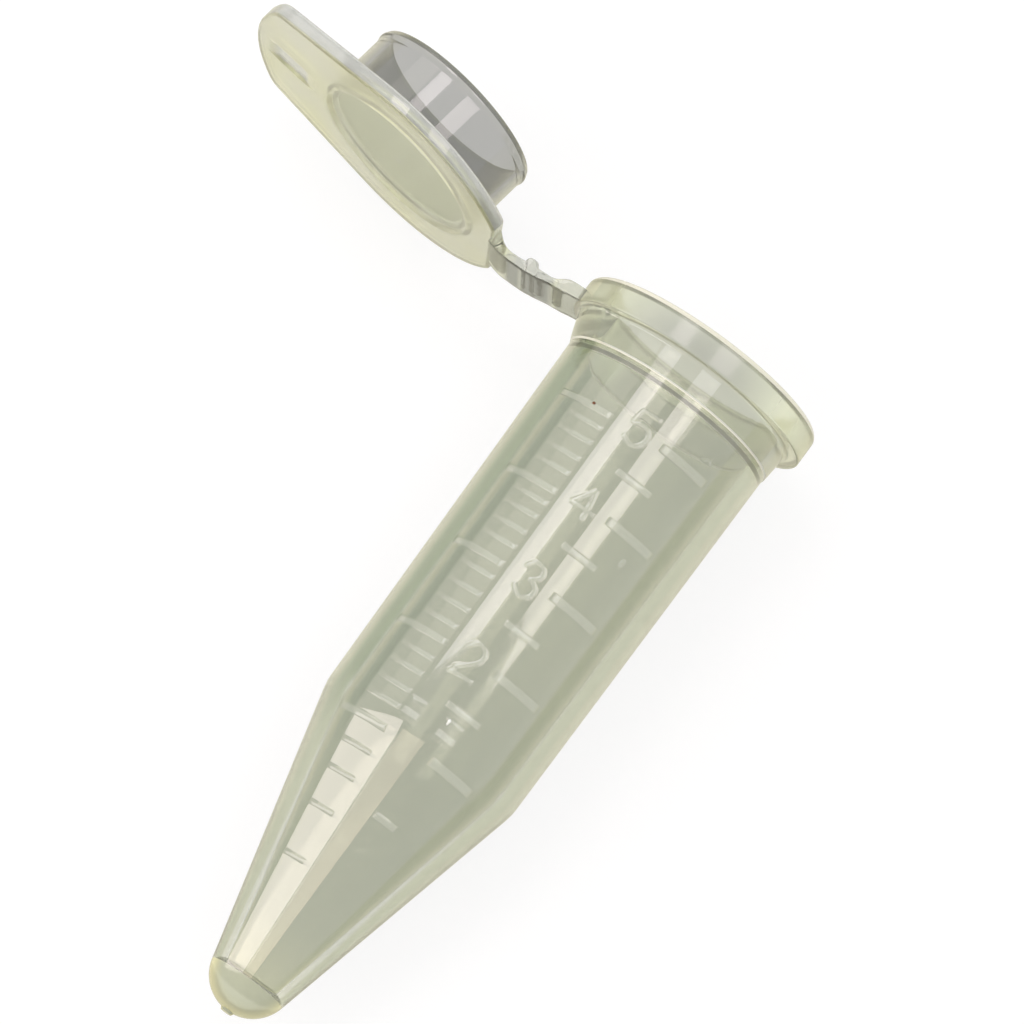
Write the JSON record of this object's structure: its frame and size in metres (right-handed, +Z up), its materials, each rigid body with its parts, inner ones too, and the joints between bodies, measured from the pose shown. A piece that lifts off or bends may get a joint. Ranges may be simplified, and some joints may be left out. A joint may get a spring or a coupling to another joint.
{
  "type": "conical tube",
  "caption": "Translucent conical sample tube with a flat rim and a snap cap on a strap hinge, lying open on its side.",
  "frame": {"origin": "middle of the part's underside, on the surface that the tube lies on with its lid open", "axes": "+X along the tube towards its mouth, +Y towards the open lid, +Z up from the surface"},
  "size_m": [0.0654, 0.051, 0.0211],
  "materials": {
    "natural_polypropylene_tube": "translucent natural polypropylene, semi-gloss",
    "natural_polypropylene_lid": "translucent natural polypropylene, semi-gloss"
  },
  "bodies": {
    "tube": {"tube": "natural_polypropylene_tube"},
    "lid": {"lid": "natural_polypropylene_lid"}
  },
  "joints": [
    {"name": "lid_hinge", "type": "hinge", "parent": "tube", "child": "lid", "pos_m": [0.02564, -0.00215, 0.0103], "axis": [-0.02, -0.0172, 0.9997], "range_deg": [-171.4, 8.6]}
  ]
}
